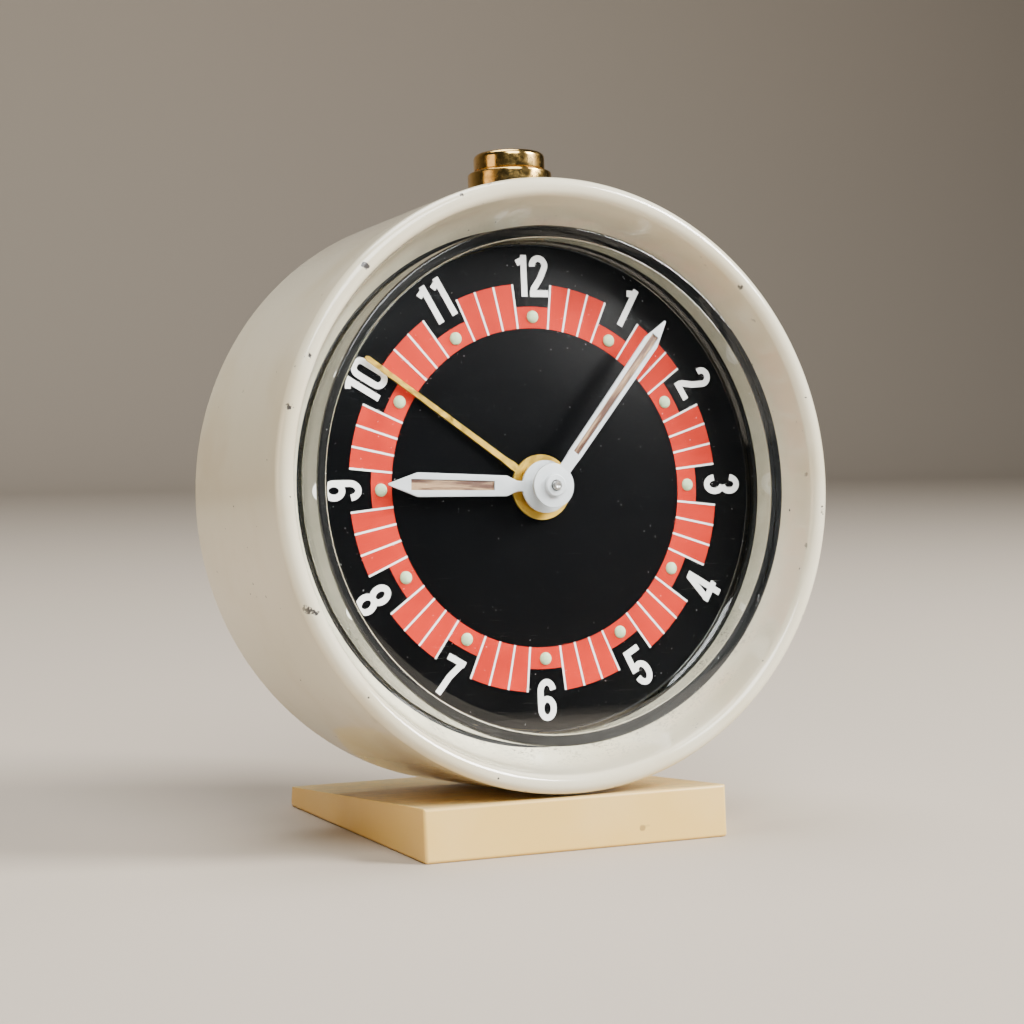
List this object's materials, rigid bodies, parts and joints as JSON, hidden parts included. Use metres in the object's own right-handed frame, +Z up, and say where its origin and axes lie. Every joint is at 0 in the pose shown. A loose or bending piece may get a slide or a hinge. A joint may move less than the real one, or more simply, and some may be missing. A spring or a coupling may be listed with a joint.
{
  "type": "mechanical alarm clock",
  "caption": "Wind-up table alarm clock: a round enamelled drum with a clear front and a black dial, on a wedge foot, with a push button on top and winding keys behind.",
  "frame": {"origin": "centre of the foot's underside, on the surface that the clock stands on", "axes": "+Z up, -Y is the dial side, +X to the right as the dial is seen; the dial leans back 5 degrees"},
  "size_m": [0.085, 0.0508, 0.0972],
  "materials": {
    "bell_steel": "plated",
    "black_dial_lacquer": "satin black lacquer",
    "black_plastic": "black",
    "black_rubber": "matt",
    "blued_spring_steel": "blued",
    "bright_steel": "bright",
    "clear_acrylic": "clear, polished, lightly scratched",
    "cream_plastic": "aged semi-gloss",
    "ivory_enamel": "gloss stove enamel",
    "plate_brass": "brushed",
    "polished_brass": "polished",
    "white_hand_lacquer": "white lacquer"
  },
  "bodies": {
    "case": {"alarm_mainspring": "blued_spring_steel", "back_cover": "bright_steel", "back_cover_screw_1": "bright_steel", "back_cover_screw_2": "bright_steel", "back_cover_screw_3": "bright_steel", "back_plate": "plate_brass", "bell": "bell_steel", "bell_screw": "bright_steel", "button_collar": "polished_brass", "button_spring": "bright_steel", "case_shell": "ivory_enamel", "crystal": "clear_acrylic", "crystal_seat": "black_rubber", "dial_plate": "black_dial_lacquer", "foot_base": "cream_plastic", "foot_screw_1": "bright_steel", "foot_screw_2": "bright_steel", "front_plate": "plate_brass", "hairspring": "blued_spring_steel", "pillar_1": "bright_steel", "pillar_2": "bright_steel", "pillar_3": "bright_steel", "pillar_4": "bright_steel", "pillar_nut_1": "bright_steel", "pillar_nut_2": "bright_steel", "pillar_nut_3": "bright_steel", "pillar_nut_4": "bright_steel", "time_mainspring": "blued_spring_steel"},
    "minute_set": {"centre_arbor": "bright_steel", "minute_hand": "white_hand_lacquer", "time_set_knob": "black_plastic"},
    "hour_set": {"hour_wheel": "plate_brass", "hour_hand": "white_hand_lacquer"},
    "minute_wheel_set": {"minute_wheel": "plate_brass"},
    "alarm_hand_set": {"alarm_wheel": "plate_brass", "alarm_hand": "polished_brass"},
    "alarm_setter": {"alarm_set_arbor": "bright_steel", "alarm_set_knob": "black_plastic"},
    "time_key": {"time_winding_arbor": "bright_steel", "time_winding_key": "bright_steel"},
    "alarm_key": {"alarm_winding_arbor": "bright_steel", "alarm_winding_key": "bright_steel"},
    "time_great": {"time_great_wheel": "plate_brass"},
    "time_click_lever": {"time_click": "bright_steel"},
    "alarm_great": {"alarm_great_wheel": "plate_brass"},
    "alarm_click_lever": {"alarm_click": "bright_steel"},
    "centre_set": {"centre_wheel": "plate_brass"},
    "third_set": {"third_wheel": "plate_brass"},
    "fourth_set": {"fourth_wheel": "plate_brass"},
    "escape_set": {"escape_wheel": "plate_brass"},
    "lever": {"pallet_lever": "bright_steel"},
    "balance": {"balance_wheel": "plate_brass"},
    "alarm_escape": {"alarm_escape_wheel": "plate_brass"},
    "hammer": {"alarm_hammer": "bright_steel"},
    "stop_button": {"alarm_stop_button": "polished_brass", "button_plunger": "bright_steel"},
    "regulator": {"regulator_lever": "bright_steel"}
  },
  "joints": [
    {"name": "minute_turn", "type": "hinge", "parent": "case", "child": "minute_set", "pos_m": [0, -0.02022, 0.04997], "axis": [0, -0.9962, 0.0872], "continuous": true},
    {"name": "hour_turn", "type": "hinge", "parent": "case", "child": "hour_set", "pos_m": [0, -0.02022, 0.04997], "axis": [0, -0.9962, 0.0872], "continuous": true},
    {"name": "minute_wheel_turn", "type": "hinge", "parent": "case", "child": "minute_wheel_set", "pos_m": [0.0042, -0.01959, 0.05721], "axis": [0, -0.9962, 0.0872], "continuous": true},
    {"name": "alarm_hand_turn", "type": "hinge", "parent": "case", "child": "alarm_hand_set", "pos_m": [0, -0.02022, 0.04997], "axis": [0, -0.9962, 0.0872], "continuous": true},
    {"name": "alarm_set_turn", "type": "hinge", "parent": "case", "child": "alarm_setter", "pos_m": [0, -0.02145, 0.03602], "axis": [0, -0.9962, 0.0872], "continuous": true},
    {"name": "time_wind", "type": "hinge", "parent": "case", "child": "time_key", "pos_m": [-0.01599, -0.02083, 0.04301], "axis": [0, -0.9962, 0.0872], "range_deg": [0, 1980]},
    {"name": "alarm_wind", "type": "hinge", "parent": "case", "child": "alarm_key", "pos_m": [0.01599, -0.02083, 0.04301], "axis": [0, -0.9962, 0.0872], "range_deg": [0, 1980]},
    {"name": "time_great_turn", "type": "hinge", "parent": "case", "child": "time_great", "pos_m": [-0.01599, -0.02083, 0.04301], "axis": [0, -0.9962, 0.0872], "continuous": true},
    {"name": "time_click_swing", "type": "hinge", "parent": "time_great", "child": "time_click_lever", "pos_m": [-0.0237, -0.02108, 0.04021], "axis": [0, -0.9962, 0.0872], "range_deg": [-12, 0], "stiffness_Nm_per_rad": 0.0005, "springref_deg": 11.46},
    {"name": "alarm_great_turn", "type": "hinge", "parent": "case", "child": "alarm_great", "pos_m": [0.01599, -0.02083, 0.04301], "axis": [0, -0.9962, 0.0872], "continuous": true},
    {"name": "alarm_click_swing", "type": "hinge", "parent": "alarm_great", "child": "alarm_click_lever", "pos_m": [0.0237, -0.02108, 0.04021], "axis": [0, -0.9962, 0.0872], "range_deg": [-12, 0], "stiffness_Nm_per_rad": 0.0005, "springref_deg": 11.46},
    {"name": "centre_turn", "type": "hinge", "parent": "case", "child": "centre_set", "pos_m": [0, -0.02022, 0.04997], "axis": [0, -0.9962, 0.0872], "continuous": true},
    {"name": "third_turn", "type": "hinge", "parent": "case", "child": "third_set", "pos_m": [-0.00931, -0.01954, 0.05775], "axis": [0, -0.9962, 0.0872], "continuous": true},
    {"name": "fourth_turn", "type": "hinge", "parent": "case", "child": "fourth_set", "pos_m": [-0.00506, -0.0189, 0.06508], "axis": [0, -0.9962, 0.0872], "continuous": true},
    {"name": "escape_turn", "type": "hinge", "parent": "case", "child": "escape_set", "pos_m": [0.00301, -0.01884, 0.06578], "axis": [0, -0.9962, 0.0872], "continuous": true},
    {"name": "lever_rock", "type": "hinge", "parent": "case", "child": "lever", "pos_m": [0.00901, -0.01884, 0.06578], "axis": [0, -0.9962, 0.0872], "range_deg": [-6, 6]},
    {"name": "balance_swing", "type": "hinge", "parent": "case", "child": "balance", "pos_m": [0.01731, -0.01884, 0.06578], "axis": [0, -0.9962, 0.0872], "range_deg": [-220, 220], "stiffness_Nm_per_rad": 0.000005},
    {"name": "alarm_escape_turn", "type": "hinge", "parent": "case", "child": "alarm_escape", "pos_m": [0.00783, -0.02185, 0.03139], "axis": [0, -0.9962, 0.0872], "continuous": true},
    {"name": "hammer_swing", "type": "hinge", "parent": "case", "child": "hammer", "pos_m": [0.00162, -0.02195, 0.0303], "axis": [0, -0.9962, 0.0872], "range_deg": [-8, 5]},
    {"name": "stop_press", "type": "slide", "parent": "case", "child": "stop_button", "axis": [0, -0.0872, -0.9962], "range_m": [0, 0.0015], "stiffness_N_per_m": 300, "springref_m": -0.001, "deforming": ["button_spring"]},
    {"name": "regulator_swing", "type": "hinge", "parent": "case", "child": "regulator", "pos_m": [0.01731, -0.01884, 0.06578], "axis": [0, -0.9962, 0.0872], "range_deg": [-25, 25]}
  ],
  "couplings": [
    {"joint": "minute_wheel_turn", "follows": "minute_turn", "ratio": -0.33333},
    {"joint": "hour_turn", "follows": "minute_turn", "ratio": 0.083333},
    {"joint": "alarm_set_turn", "follows": "alarm_hand_turn", "ratio": -4},
    {"joint": "third_turn", "follows": "fourth_turn", "ratio": -0.13333},
    {"joint": "centre_turn", "follows": "fourth_turn", "ratio": 0.016667},
    {"joint": "time_great_turn", "follows": "fourth_turn", "ratio": -0.0022222},
    {"joint": "escape_turn", "follows": "fourth_turn", "ratio": -8},
    {"joint": "alarm_escape_turn", "follows": "alarm_great_turn", "ratio": -6.75}
  ]
}
